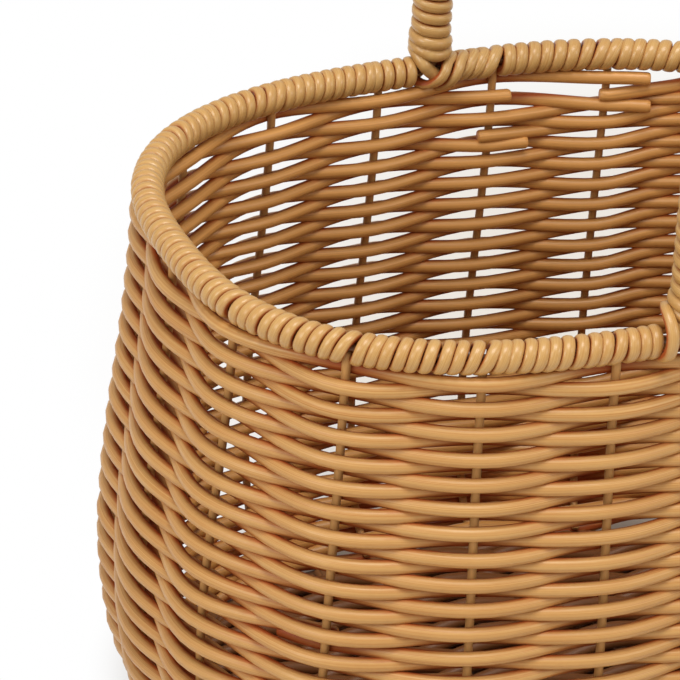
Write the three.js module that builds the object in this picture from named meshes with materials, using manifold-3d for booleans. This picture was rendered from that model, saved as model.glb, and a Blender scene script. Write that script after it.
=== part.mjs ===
// Oval carry basket: round plastic strand woven over a frame of coated wire, with a fixed hoop handle.
// Millimetres, +Z up. The origin is on the floor under the middle of the basket. X runs along the
// oval and Y across it, in the plane of the handle.
import * as THREE from "three";
import { mergeVertices } from "three/addons/utils/BufferGeometryUtils.js";
import Module from "manifold-3d";

const wasm = await Module();
wasm.setup();

// Strand, wire and the clearance where two pieces touch.
const STRAND = 4.2;
const STAKE_WIRE = 3;
const RIM_WIRE = 2.4;
const RIM_WIRE_EDGE = 0.7;
const HANDLE_ROD = 5.8;
const SEAT = 0.3;

// Oval plan, measured on the centreline of the rim.
const RIM_HALF_LENGTH = 136;
const RIM_HALF_WIDTH = 105;
const OVAL_POWER = 2.6;

// Wall: it flares from the rim to its widest line, then turns in to the base. The last two are the
// shares of the flare over which it leaves the rim and comes to its widest line upright.
const RIM_HEIGHT = 205;
const BULGE = 9.2;
const BULGE_HEIGHT = 74;
const BASE_INSET = 11.7;
const UPRIGHT_BELOW_RIM = 0.38;
const UPRIGHT_ABOVE_BULGE = 0.33;

// Weave: pairs of stakes, how far round the rim they are moved, the space between rows, and the
// stake where the weaving starts. The first lengths of strand are short; each later splice is a
// number of turns and of stake pairs further on.
const STAKE_PAIRS = 9;
const STAKE_OFFSET = -3;
const ROW_GAP = 0.3;
const FIRST_STAKE = 3;
const FIRST_TURNS = 1;
const WEAVER_TURNS = 5;
const SPLICE_SHIFT_PAIRS = 2;
const SPLICE_GAP = 1;

// Base: foot ring on the floor, cross wires on the ring, one strand woven to and fro.
const FOOT_WIDTH = 6;
const FOOT_EDGE = 1.2;
const FLOOR_CLEARANCE = 1.8;
const BASE_WIRES = 5;

// Rim and handle windings.
const RIM_WRAP_GAP = 0.5;
const HANDLE_WRAP_GAP = 0.3;

// Handle: straight legs on the rim, then a half ellipse.
const HANDLE_LEG = 80;
const HANDLE_ARCH = 95;

// Lashing at each foot of the handle: where it lies on the rim, in degrees from the top of the rim.
const LASH_FROM = 125;
const LASH_TO = 30;
const LASH_SPREAD = 6.5;

// Facets.
const WEAVE_SIDES = 4;
const LASH_SIDES = 5;
const WIRE_SIDES = 4;
const RIM_SIDES = 5;
const HANDLE_SIDES = 6;
const PROFILE_STEPS = 4;
const TURNS_PER_BORE_STEP = 5;
const LASH_OVER_STEPS = 4;
const LASH_ROUND_STEPS = 9;

// Sizes that follow from the ones above.
const STAKES = 2 * STAKE_PAIRS;
const RING_STEPS = 2 * STAKES;
const FOOT_HEIGHT = FLOOR_CLEARANCE + STRAND;
const BASE_LEVEL = FOOT_HEIGHT + SEAT + STAKE_WIRE / 2;
const ROW_PITCH = STRAND + ROW_GAP;
const LIFT = STAKE_WIRE / 2 + SEAT + STRAND / 2;
const RIM_RADIUS = RIM_WIRE / 2 + SEAT + STRAND;

const materials = {
  strand: { color: 0xbf8a4d, roughness: 0.45, metalness: 0 },
  wrap: { color: 0xcc9a5e, roughness: 0.42, metalness: 0 },
  base: { color: 0xa8733c, roughness: 0.5, metalness: 0 },
  stake: { color: 0xa06a35, roughness: 0.5, metalness: 0 },
  wire: { color: 0x6f4a28, roughness: 0.45, metalness: 0.6 },
};

const basket = new THREE.Group();

function add(name, geometry, look, parent = basket) {
  const mesh = new THREE.Mesh(geometry, new THREE.MeshStandardMaterial(materials[look]));
  mesh.name = name;
  parent.add(mesh);
  return mesh;
}

// Curves.

// The rim's oval: a superellipse in plan, fuller at the corners than an ellipse.
class OvalCurve extends THREE.Curve {
  constructor(halfLength, halfWidth) {
    super();
    this.halfLength = halfLength;
    this.halfWidth = halfWidth;
    this.arcLengthDivisions = 720;
  }

  getPoint(t, target = new THREE.Vector3()) {
    const fuller = (value) => Math.sign(value) * Math.abs(value) ** (2 / OVAL_POWER);
    const angle = 2 * Math.PI * t;
    return target.set(
      this.halfLength * fuller(Math.cos(angle)),
      this.halfWidth * fuller(Math.sin(angle)),
      0,
    );
  }

  // Half the oval's length at a distance y from its long axis.
  reach(y) {
    return this.halfLength * (1 - Math.abs(y / this.halfWidth) ** OVAL_POWER) ** (1 / OVAL_POWER);
  }
}

// A run of straight stretches, with one extrusion step for each.
class StretchCurve extends THREE.Curve {
  constructor(points) {
    super();
    this.points = points;
  }

  getPoint(t, target = new THREE.Vector3()) {
    const place = t * (this.points.length - 1);
    const first = Math.min(Math.floor(place), this.points.length - 2);
    return target.lerpVectors(this.points[first], this.points[first + 1], place - first);
  }

  getUtoTmapping(u) {
    return u;
  }
}

const oval = new OvalCurve(RIM_HALF_LENGTH, RIM_HALF_WIDTH);
const ovalLength = oval.getLength();

// Place and outward direction on the rim's centreline, at a share u of the way round it.
function planAt(u) {
  const point = oval.getPointAt(((u % 1) + 1) % 1);
  const slope = (value, half) => (Math.sign(value) * Math.abs(value / half) ** (OVAL_POWER - 1)) / half;
  const outward = new THREE.Vector3(
    slope(point.x, RIM_HALF_LENGTH),
    slope(point.y, RIM_HALF_WIDTH),
    0,
  );
  return { point, outward: outward.normalize() };
}

// Middle of the wall in section: x is the distance outside the rim's centreline, y the height.
const flare = RIM_HEIGHT - BULGE_HEIGHT;
const wall = new THREE.Path();
wall.moveTo(0, RIM_HEIGHT);
wall.bezierCurveTo(
  0,
  RIM_HEIGHT - UPRIGHT_BELOW_RIM * flare,
  BULGE,
  BULGE_HEIGHT + UPRIGHT_ABOVE_BULGE * flare,
  BULGE,
  BULGE_HEIGHT,
);
wall.absellipse(
  -BASE_INSET,
  BULGE_HEIGHT,
  BULGE + BASE_INSET,
  BULGE_HEIGHT - BASE_LEVEL,
  0,
  -Math.PI / 2,
  true,
);
const wallLength = wall.getLength();

// The share of the way round at which a stake stands.
function stakeShare(k) {
  return k / STAKES + STAKE_OFFSET / ovalLength;
}

// A point at a share u round the basket, at a place in the wall's section.
function inPlan(u, place) {
  const { point, outward } = planAt(u);
  return point.addScaledVector(outward, place.x).setZ(place.y);
}

// The wall's section at a distance down from the rim, moved off its middle towards the outside.
function wallSection(down, lift = 0) {
  const share = down / wallLength;
  const along = wall.getTangentAt(share);
  return wall.getPointAt(share).add(new THREE.Vector2(-along.y, along.x).multiplyScalar(lift));
}

// Solids.

function polygon(radius, sides) {
  const corner = (i) => {
    const angle = (2 * Math.PI * i) / sides;
    return new THREE.Vector2(radius * Math.cos(angle), radius * Math.sin(angle));
  };
  return new THREE.Shape(Array.from({ length: sides }, (_, i) => corner(i)));
}

function tube(points, diameter, sides) {
  return new THREE.ExtrudeGeometry(polygon(diameter / 2, sides), {
    extrudePath: new StretchCurve(points),
    steps: points.length - 1,
  });
}

// An oval ring of flat-sided section, its middle at an offset from the rim's centreline.
function ovalRing(offset, width, height, edge) {
  const outline = (distance) =>
    Array.from({ length: RING_STEPS }, (_, i) => {
      const corner = inPlan(i / RING_STEPS, new THREE.Vector2(distance, 0));
      return new THREE.Vector2(corner.x, corner.y);
    });
  const shape = new THREE.Shape(outline(offset + width / 2));
  shape.holes.push(new THREE.Path(outline(offset - width / 2)));
  const ring = new THREE.ExtrudeGeometry(shape, {
    depth: height - 2 * edge,
    bevelThickness: edge,
    bevelSize: edge,
    bevelOffset: -edge,
    bevelSegments: 1,
  });
  return ring.translate(0, 0, edge);
}

// A strand wound round a core, as one sleeve: its ridge is the strand and its bore takes the core.
// frameAt gives the core's place and two directions across it at a share of the way along.
function woundSleeve({ frameAt, turns, sides, boreSteps, coreRadius, closed }) {
  const total = turns * sides;
  const radii = {
    bore: (coreRadius + SEAT) / Math.cos(Math.PI / sides),
    root: coreRadius + SEAT + STRAND / 2,
    crest: coreRadius + SEAT + STRAND,
  };
  const positions = [];
  const index = [];

  function vertex(share, step, radius) {
    const { place, side, up } = frameAt(closed ? share : THREE.MathUtils.clamp(share, 0, 1));
    const angle = (2 * Math.PI * step) / sides;
    const corner = place
      .clone()
      .addScaledVector(side, radius * Math.cos(angle))
      .addScaledVector(up, radius * Math.sin(angle));
    positions.push(corner.x, corner.y, corner.z);
    return positions.length / 3 - 1;
  }

  function triangle(a, b, c) {
    index.push(a, c, b);
  }

  function quad(a, b, c, d) {
    triangle(a, b, c);
    triangle(a, c, d);
  }

  const count = (open) => ({ length: closed ? total : open });
  const root = Array.from(count(total + sides + 1), (_, i) =>
    vertex((i - sides / 2) / total, i, radii.root),
  );
  const crest = Array.from(count(total + 1), (_, i) => vertex(i / total, i, radii.crest));
  const bore = Array.from({ length: closed ? boreSteps : boreSteps + 1 }, (_, ring) =>
    Array.from({ length: sides }, (_, i) => vertex(ring / boreSteps, i, radii.bore)),
  );
  const at = (list, i) => list[i % list.length];

  for (let i = 0; i < total; i++) {
    quad(root[i], at(root, i + 1), at(crest, i + 1), crest[i]);
    quad(crest[i], at(crest, i + 1), at(root, i + 1 + sides), at(root, i + sides));
  }
  for (let ring = 0; ring < boreSteps; ring++) {
    const near = bore[ring];
    const far = at(bore, ring + 1);
    for (let i = 0; i < sides; i++) {
      quad(near[i], far[i], at(far, i + 1), at(near, i + 1));
    }
  }
  if (!closed) {
    const first = bore[0];
    const last = bore[boreSteps];
    for (let i = 0; i < sides; i++) {
      quad(root[i + 1], root[i], first[i], at(first, i + 1));
      quad(root[total + i], root[total + i + 1], at(last, i + 1), last[i]);
    }
    triangle(root[0], crest[0], root[sides]);
    triangle(root[0], root[sides], first[0]);
    triangle(root[total], last[0], root[total + sides]);
    triangle(root[total], root[total + sides], crest[total]);
  }

  const sleeve = new THREE.BufferGeometry();
  sleeve.setAttribute("position", new THREE.Float32BufferAttribute(positions, 3));
  sleeve.setIndex(index);
  sleeve.computeVertexNormals();
  return sleeve;
}

function solidOf(geometry) {
  const bare = new THREE.BufferGeometry();
  bare.setAttribute("position", geometry.getAttribute("position"));
  bare.setIndex(geometry.index);
  const merged = mergeVertices(bare, 1e-4);
  return new wasm.Manifold(
    new wasm.Mesh({
      numProp: 3,
      vertProperties: merged.attributes.position.array,
      triVerts: new Uint32Array(merged.index.array),
    }),
  );
}

// The geometry with each cutter taken out of it.
function cut(geometry, cutters) {
  let solid = solidOf(geometry);
  for (const cutter of cutters) {
    solid = solid.subtract(solidOf(cutter));
  }
  const mesh = solid.getMesh();
  const result = new THREE.BufferGeometry();
  result.setAttribute("position", new THREE.Float32BufferAttribute(mesh.vertProperties, 3));
  result.setIndex(new THREE.Uint32BufferAttribute(mesh.triVerts, 1));
  result.computeVertexNormals();
  return result;
}

// Wire frame.

const footRing = ovalRing(-BASE_INSET, FOOT_WIDTH, FOOT_HEIGHT, FOOT_EDGE);
add("foot_ring", footRing, "wire");

const rimRing = ovalRing(0, RIM_WIRE, RIM_WIRE, RIM_WIRE_EDGE);
add("rim_wire", rimRing.translate(0, 0, RIM_HEIGHT - RIM_WIRE / 2), "wire");

// Each stake runs from under the rim wire, down the middle of the wall, on to the foot ring.
function stakePoints(u) {
  const sections = wall.getPoints(PROFILE_STEPS);
  sections[0] = wallSection(RIM_WIRE / 2 + SEAT);
  sections[sections.length - 1] = wallSection(wallLength - SEAT);
  return sections.map((section) => inPlan(u, section));
}

for (let k = 0; k < STAKES; k++) {
  add(`stake_${k + 1}`, tube(stakePoints(stakeShare(k)), STAKE_WIRE, WIRE_SIDES), "stake");
}

// Cross wires lie on the foot ring, short of the stakes' ends.
const footOval = new OvalCurve(RIM_HALF_LENGTH - BASE_INSET, RIM_HALF_WIDTH - BASE_INSET);
const acrossOval = new OvalCurve(footOval.halfWidth, footOval.halfLength);
const baseWireX = Array.from(
  { length: BASE_WIRES },
  (_, i) => footOval.halfLength * ((2 * (i + 1)) / (BASE_WIRES + 1) - 1),
);
baseWireX.forEach((x, i) => {
  const length = 2 * (acrossOval.reach(x) - STAKE_WIRE / 2 - SEAT);
  const wire = new THREE.CylinderGeometry(STAKE_WIRE / 2, STAKE_WIRE / 2, length, WIRE_SIDES);
  add(`base_wire_${i + 1}`, wire, "wire").position.set(x, 0, BASE_LEVEL);
});

// Handle: the rod follows its legs and arch in the YZ plane.

const hoop = new THREE.Path();
hoop.moveTo(-RIM_HALF_WIDTH, RIM_HEIGHT);
hoop.lineTo(-RIM_HALF_WIDTH, RIM_HEIGHT + HANDLE_LEG);
hoop.absellipse(0, RIM_HEIGHT + HANDLE_LEG, RIM_HALF_WIDTH, HANDLE_ARCH, Math.PI, 0, true);
hoop.lineTo(RIM_HALF_WIDTH, RIM_HEIGHT);
const hoopLength = hoop.getLength();
const HOOP_SIDE = new THREE.Vector3(1, 0, 0);

function hoopFrame(along) {
  const section = hoop.getPointAt(along / hoopLength);
  const tangent = hoop.getTangentAt(along / hoopLength);
  return {
    place: new THREE.Vector3(0, section.x, section.y),
    side: HOOP_SIDE,
    up: HOOP_SIDE.clone().cross(new THREE.Vector3(0, tangent.x, tangent.y)),
  };
}

// Lashing: two strands at each foot lie over the rim, then wind up the leg, half a turn apart.
const lashOverRim = RIM_RADIUS + SEAT + STRAND / 2;
const lashRoundLeg = HANDLE_ROD / 2 + 2 * SEAT + STRAND / 2;
const lashRise = 2 * ROW_PITCH;
const lashEnd = lashOverRim + lashRise;

function lashPoints() {
  const over = Array.from({ length: LASH_OVER_STEPS }, (_, i) => {
    const share = i / LASH_OVER_STEPS;
    const angle = THREE.MathUtils.degToRad(THREE.MathUtils.lerp(LASH_FROM, LASH_TO, share));
    const sideways = THREE.MathUtils.lerp(-LASH_SPREAD, lashRoundLeg, share);
    return new THREE.Vector3(
      sideways,
      lashOverRim * Math.sin(angle),
      lashOverRim * Math.cos(angle),
    );
  });
  const round = Array.from({ length: LASH_ROUND_STEPS + 1 }, (_, i) => {
    const share = i / LASH_ROUND_STEPS;
    const angle = -2 * Math.PI * share;
    return new THREE.Vector3(
      lashRoundLeg * Math.cos(angle),
      lashRoundLeg * Math.sin(angle),
      lashOverRim + lashRise * share,
    );
  });
  return [...over, ...round];
}

// The least clear space between two turns of one strand, measured between points on its middle.
function leastTurnGap(points) {
  const dense = new StretchCurve(points).getSpacedPoints(8 * points.length);
  let least = Infinity;
  dense.forEach((point, i) => {
    let along = 0;
    for (let j = i + 1; j < dense.length; j++) {
      along += dense[j].distanceTo(dense[j - 1]);
      if (along > 2 * STRAND) {
        least = Math.min(least, point.distanceTo(dense[j]) - STRAND);
      }
    }
  });
  return least;
}

console.log(`lashing: least gap between turns ${leastTurnGap(lashPoints()).toFixed(2)} mm`);

for (const foot of ["front", "back"]) {
  const corner = new THREE.Group();
  const side = foot === "front" ? -1 : 1;
  corner.position.set(0, side * RIM_HALF_WIDTH, RIM_HEIGHT);
  corner.rotation.z = foot === "front" ? Math.PI : 0;
  basket.add(corner);
  ["outer", "inner"].forEach((face, i) => {
    const lash = tube(lashPoints(), STRAND, LASH_SIDES);
    add(`lash_${foot}_${face}`, lash, "wrap", corner).rotation.z = i * Math.PI;
  });
}

const wrapStart = lashEnd + STRAND / 2 + SEAT;
const wrapLength = hoopLength - 2 * wrapStart;
const handleTurns = Math.floor(wrapLength / (STRAND + HANDLE_WRAP_GAP));
const handleBoreSteps = Math.ceil(handleTurns / TURNS_PER_BORE_STEP);
const wrapFrame = (share) => hoopFrame(wrapStart + share * wrapLength);

const rodFoot = RIM_WIRE / 2 + SEAT;
const rodPoints = [
  hoopFrame(rodFoot).place,
  ...Array.from({ length: handleBoreSteps + 1 }, (_, i) => wrapFrame(i / handleBoreSteps).place),
  hoopFrame(hoopLength - rodFoot).place,
];
add("handle_rod", tube(rodPoints, HANDLE_ROD, HANDLE_SIDES), "wire");
add(
  "handle_wrap",
  woundSleeve({
    frameAt: wrapFrame,
    turns: handleTurns,
    sides: HANDLE_SIDES,
    boreSteps: handleBoreSteps,
    coreRadius: HANDLE_ROD / 2,
    closed: false,
  }),
  "wrap",
);

// Rim winding: the stakes come up into it from below and the handle's rod from above.

const wrapsPerStake = Math.round(ovalLength / STAKES / (STRAND + RIM_WRAP_GAP));
const UP = new THREE.Vector3(0, 0, 1);

function rimFrame(share) {
  const { point, outward } = planAt(share);
  return { place: point.setZ(RIM_HEIGHT), side: outward, up: UP };
}

const rimSleeve = woundSleeve({
  frameAt: rimFrame,
  turns: wrapsPerStake * STAKES,
  sides: RIM_SIDES,
  boreSteps: RING_STEPS,
  coreRadius: RIM_WIRE / 2,
  closed: true,
});

function pocket(u, diameter, from, to, sides) {
  const { point } = planAt(u);
  return tube([point.clone().setZ(from), point.clone().setZ(to)], diameter + 2 * SEAT, sides);
}

const stakePockets = Array.from({ length: STAKES }, (_, k) =>
  pocket(stakeShare(k), STAKE_WIRE, RIM_HEIGHT - RIM_RADIUS - SEAT, RIM_HEIGHT, WIRE_SIDES),
);
const rodPockets = [0.25, 0.75].map((u) =>
  pocket(u, HANDLE_ROD + 2 * SEAT, RIM_HEIGHT, RIM_HEIGHT + RIM_RADIUS + SEAT, HANDLE_SIDES),
);
add("rim_wrap", cut(rimSleeve, [...stakePockets, ...rodPockets]), "wrap");

// Woven wall: two weavers chase each other down the stakes, a row apart, each inside where the other
// is outside. Both drop two rows just before they come round to the stake where they started.

const firstRow = RIM_RADIUS + SEAT + STRAND / 2;
const footEdge = -BASE_INSET + FOOT_WIDTH / 2 + SEAT + STRAND / 2;
let rows = 0;
while (wallSection(firstRow + rows * ROW_PITCH).x >= footEdge) {
  rows += 1;
}

function weaverPoint(lane, step) {
  const row = 2 * Math.floor(step / STAKES) + lane;
  const side = (step + lane) % 2 === 0 ? -1 : 1;
  const section = wallSection(firstRow + row * ROW_PITCH, side * LIFT);
  return inPlan(stakeShare(FIRST_STAKE + step), section);
}

// Half way through its drop a weaver lies in the middle of the wall.
function dropPoint(lane, step) {
  const row = 2 * Math.floor(step / STAKES) + lane + 1;
  return inPlan(stakeShare(FIRST_STAKE + step + 0.5), wallSection(firstRow + row * ROW_PITCH));
}

function weaverPoints(lane, from, to) {
  const points = [];
  for (let step = from; step <= to; step++) {
    points.push(weaverPoint(lane, step));
    if ((step + 1) % STAKES === 0 && step < to) {
      points.push(dropPoint(lane, step));
    }
  }
  return points;
}

// Lengths of strand meet end to end on the inside of a stake.
function trimmed(points, start, end) {
  const list = points.slice();
  const last = list.length - 1;
  const pull = (i, next) => {
    const toward = list[next].clone().sub(list[i]).setLength(SPLICE_GAP / 2);
    list[i] = list[i].clone().add(toward);
  };
  if (start) {
    pull(0, 1);
  }
  if (end) {
    pull(last, last - 1);
  }
  return list;
}

["a", "b"].forEach((letter, lane) => {
  const turns = Math.ceil((rows - lane) / 2);
  const lastStep = turns * STAKES - 2 + lane;
  const spliceSteps = WEAVER_TURNS * STAKES + 2 * SPLICE_SHIFT_PAIRS;
  const ends = [lane];
  for (let step = (FIRST_TURNS + lane) * STAKES + lane; step < lastStep; step += spliceSteps) {
    ends.push(step);
  }
  ends.push(lastStep);
  ends.slice(1).forEach((to, i) => {
    const points = trimmed(weaverPoints(lane, ends[i], to), i > 0, to < lastStep);
    add(`weaver_${letter}${i + 1}`, tube(points, STRAND, WEAVE_SIDES), "strand");
  });
});

// Woven base: one strand runs to and fro, over and under the cross wires.

const matInset = BASE_INSET + FOOT_WIDTH / 2 + SEAT + STRAND / 2;
const matOval = new OvalCurve(RIM_HALF_LENGTH - matInset, RIM_HALF_WIDTH - matInset);
const halfRows = Math.floor((matOval.halfWidth - STRAND) / ROW_PITCH);
const wireRoom = STRAND / 2 + STAKE_WIRE / 2 + SEAT;
const crossingRoom = 2.5 * STRAND;

// How far from the middle the strand turns back, clear of the nearest cross wire.
function turnAt(row, next) {
  const inside = [row, next].filter((value) => Math.abs(value) <= halfRows);
  const reach = Math.min(...inside.map((value) => matOval.reach(value * ROW_PITCH)));
  const blocking = baseWireX.find((x) => reach > x - wireRoom && reach < x + crossingRoom);
  return blocking === undefined ? reach : blocking - wireRoom;
}

function matPoints() {
  const points = [];
  for (let row = -halfRows; row <= halfRows; row++) {
    const heading = row % 2 === 0 ? 1 : -1;
    const start = -heading * turnAt(row, row - 1);
    const end = heading * turnAt(row, row + 1);
    const y = row * ROW_PITCH;
    const crossed = baseWireX.filter((x) => x > Math.min(start, end) && x < Math.max(start, end));
    const crossings = crossed.map((x) => {
      const over = (baseWireX.indexOf(x) + row) % 2 === 0 ? 1 : -1;
      return new THREE.Vector3(x, y, BASE_LEVEL + over * LIFT);
    });
    points.push(new THREE.Vector3(start, y, BASE_LEVEL));
    points.push(...(heading > 0 ? crossings : crossings.reverse()));
    points.push(new THREE.Vector3(end, y, BASE_LEVEL));
  }
  return points;
}

add("base_weave", tube(matPoints(), STRAND, WEAVE_SIDES), "base");

export default basket;
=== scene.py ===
"""Looks of an oval carry basket: round plastic strand woven over a wire frame, with wound rim and handle."""

import bisect
import math
import random

import bmesh
import bpy
from bpy.props import FloatProperty, FloatVectorProperty, IntProperty, PointerProperty
from mathutils import Matrix, Vector, kdtree, noise


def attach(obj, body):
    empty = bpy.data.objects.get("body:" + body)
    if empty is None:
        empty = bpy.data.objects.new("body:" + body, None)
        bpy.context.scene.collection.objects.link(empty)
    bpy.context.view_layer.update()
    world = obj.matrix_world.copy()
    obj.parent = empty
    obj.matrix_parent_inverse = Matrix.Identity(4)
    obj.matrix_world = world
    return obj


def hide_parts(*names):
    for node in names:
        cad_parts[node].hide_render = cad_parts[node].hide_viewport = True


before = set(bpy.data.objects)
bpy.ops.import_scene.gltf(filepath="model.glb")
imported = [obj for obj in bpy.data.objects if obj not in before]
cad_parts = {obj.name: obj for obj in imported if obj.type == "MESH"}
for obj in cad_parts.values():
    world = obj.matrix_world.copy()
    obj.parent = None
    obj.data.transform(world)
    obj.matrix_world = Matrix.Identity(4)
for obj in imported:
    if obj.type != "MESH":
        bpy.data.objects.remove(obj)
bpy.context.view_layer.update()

bl_info = {
    "name": "Carry basket",
    "version": (1, 0, 0),
    "blender": (4, 5, 0),
    "location": "View3D > Sidebar > Basket",
    "description": "Weaves an oval carry basket over its packed CAD frame and sets a studio round it",
    "category": "Object",
}

BODY = "root"
# In a metre.
MILLIMETRES = 1000


# Sizes, finishes and studio.


def number(name, default, description, **kind):
    """A number as a property, a whole one if its default is whole."""
    make = IntProperty if isinstance(default, int) else FloatProperty
    return make(name=name, default=default, description=description, **kind)


def length(name, default, description):
    """A length in metres, as a property."""
    return number(name, default, description, min=0.0, subtype="DISTANCE", precision=4)


def colour(name, default, description):
    """A linear colour, as a property."""
    return FloatVectorProperty(
        name=name, default=default, size=3, min=0.0, max=1.0, subtype="COLOR", description=description
    )


class BasketSizes(bpy.types.PropertyGroup):
    """The basket's sizes: those of its CAD model, with the strand as it lies when it is woven and wound."""

    strand: length("Strand", 0.0042, "Diameter of the round plastic strand")
    weaver: length("Weaver", 0.00495, "Diameter of the strand as woven, fuller than its CAD solid")
    wound_strand: length("Wound strand", 0.0047, "Width of the strand where it is wound")
    wound_thick: length("Wound thickness", 0.0039, "Thickness of the strand where it is wound")
    stake_wire: length("Stake", 0.003, "Diameter of an upright stake")
    rim_wire: length("Rim wire", 0.0024, "Diameter of the wire inside the rim")
    handle_rod: length("Handle rod", 0.0058, "Diameter of the rod inside the handle")
    seat: length("Seat", 0.0003, "Clearance where two pieces touch")
    rim_half_length: length("Rim half length", 0.136, "Half the rim's length, on its centreline")
    rim_half_width: length("Rim half width", 0.105, "Half the rim's width, on its centreline")
    oval_power: number("Oval power", 2.6, "Fullness of the oval's corners", min=2.0)
    rim_height: length("Rim height", 0.205, "Height of the rim's centreline")
    bulge: length("Bulge", 0.0092, "How far the wall stands out at its widest line")
    bulge_height: length("Bulge height", 0.074, "Height of the wall's widest line")
    base_inset: length("Base inset", 0.0117, "How far the foot ring stands inside the rim")
    upright_below_rim: number("Upright below rim", 0.38, "Share of the flare that leaves the rim upright")
    upright_above_bulge: number("Upright above bulge", 0.33, "Share of the flare that ends upright")
    stake_pairs: number("Stake pairs", 9, "Half the number of stakes", min=3)
    stake_offset: number("Stake offset", -0.003, "How far the stakes move round the rim", subtype="DISTANCE")
    row_gap: length("Row gap", 0.0003, "Space between rows of the weave")
    first_stake: number("First stake", 3, "Stake where the weaving starts", min=0)
    first_turns: number("First turns", 1, "Turns in the first length of strand", min=1)
    weaver_turns: number("Weaver turns", 5, "Turns in each later length of strand", min=1)
    splice_shift_pairs: number("Splice shift", 2, "Stake pairs between splices, beside the turns", min=0)
    foot_width: length("Foot width", 0.006, "Width of the foot ring")
    foot_edge: length("Foot edge", 0.0012, "Rounding of the foot ring's edges")
    floor_clearance: length("Floor clearance", 0.0018, "Space between the woven base and the floor")
    base_wires: number("Base wires", 5, "Number of cross wires in the base", min=1)
    rim_turns: number("Rim turns", 9, "Turns of winding between stakes, one more at the left end", min=2)
    handle_wrap_gap: length("Handle wrap gap", 0.0006, "Space between turns of the handle's winding")
    handle_leg: length("Handle leg", 0.08, "Height of the handle's straight legs above the rim")
    handle_arch: length("Handle arch", 0.095, "Rise of the handle's arch above its legs")


class BasketFinish(bpy.types.PropertyGroup):
    """Colours and roughness of the plastic strand and the coated wire."""

    weave: colour("Weave", (0.62, 0.36, 0.122), "Honey tan of the woven strand")
    weave_deep: colour("Weave, deep", (0.45, 0.178, 0.034), "Redder tan in its darker stretches")
    winding: colour("Winding", (0.62, 0.385, 0.138), "Paler honey tan of the windings")
    winding_deep: colour("Winding, deep", (0.46, 0.21, 0.045), "Deeper tan in their darker stretches")
    # Painted light: a redder tan on the wall's inner side, standing in for the warm light bounced about
    # inside the basket.
    inner: colour("Inner side", (0.69, 0.315, 0.078), "Bounce-lit tan on the wall's inner side")
    # Painted shade: red-brown laid in the recesses where strands lie together and between wound turns.
    recess_shade: colour("Recess shade", (0.38, 0.07, 0.007), "Red-brown left where strands lie together")
    # Painted shade: the base's strand is painted deep brown, for the little light that reaches the bottom of
    # the basket.
    base: colour("Base", (0.2, 0.068, 0.016), "Deep brown of the strand in the base")
    stake: colour("Stake", (0.6, 0.31, 0.095), "Honey coating of the stakes")
    wire: colour("Wire", (0.2, 0.085, 0.028), "Dark brown coating of the hidden wires")
    roughness: number("Roughness", 0.46, "Roughness of the plastic strand", min=0.0, max=1.0)


class BasketStudio(bpy.types.PropertyGroup):
    """Floor, light and camera."""

    floor: colour("Floor", (0.7, 0.66, 0.6), "Pale floor")
    key: number("Key", 20.0, "Power of the large soft key light", min=0.0, unit="POWER")
    top: number("Top", 25.0, "Power of the light overhead", min=0.0, unit="POWER")
    fill: number("Fill", 7.5, "Power of the fill light", min=0.0, unit="POWER")
    ambient: number("Ambient", 0.54, "Even light from all round", min=0.0)
    camera_place: FloatVectorProperty(
        name="Camera", default=(-0.5653, -1.1141, 0.8305), size=3, subtype="XYZ",
        description="Place of the camera",
    )
    camera_yaw: number("Yaw", -0.41397, "Turn of the view round the basket", subtype="ANGLE")
    camera_pitch: number("Pitch", 0.50291, "Look down from the horizon", subtype="ANGLE")
    camera_roll: number("Roll", 0.04994, "Tilt of the picture", subtype="ANGLE")
    camera_lens: number("Lens", 216.24, "Focal length in millimetres on a 36 mm sensor")


# Lines that the basket follows.


class Walk:
    """A line of places, walked by its own length."""

    def __init__(self, places):
        self.places = places
        self.run = [0.0]
        for a, b in zip(places, places[1:]):
            self.run.append(self.run[-1] + (b - a).length)
        self.length = self.run[-1]

    def at(self, distance):
        """The place and the heading at a distance along the line."""
        i = min(max(bisect.bisect_right(self.run, distance), 1), len(self.places) - 1)
        a, b = self.places[i - 1], self.places[i]
        share = (distance - self.run[i - 1]) / (self.run[i] - self.run[i - 1])
        return a.lerp(b, share), (b - a).normalized()


class OvalPlan:
    """An oval seen from above, walked by its own length from the +X end."""

    STEPS = 1440

    def __init__(self, half_length, half_width, power):
        self.half_length = half_length
        self.half_width = half_width
        self.power = power
        self.line = Walk([self.corner(2 * math.pi * i / self.STEPS) for i in range(self.STEPS + 1)])
        self.length = self.line.length

    def corner(self, angle):
        fuller = 2 / self.power
        x = math.copysign(abs(math.cos(angle)) ** fuller, math.cos(angle))
        y = math.copysign(abs(math.sin(angle)) ** fuller, math.sin(angle))
        return Vector((self.half_length * x, self.half_width * y, 0))

    def at(self, share):
        """The place at a share of the way round, and the direction that points out of the basket."""
        place = self.line.at((share % 1.0) * self.length)[0]
        slope = self.power - 1
        x = math.copysign(abs(place.x / self.half_length) ** slope, place.x) / self.half_length
        y = math.copysign(abs(place.y / self.half_width) ** slope, place.y) / self.half_width
        return place, Vector((x, y, 0)).normalized()

    def reach(self, y):
        """Half the oval's length at a distance y from its long axis."""
        share = 1 - abs(y / self.half_width) ** self.power
        return self.half_length * max(share, 0.0) ** (1 / self.power)


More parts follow.
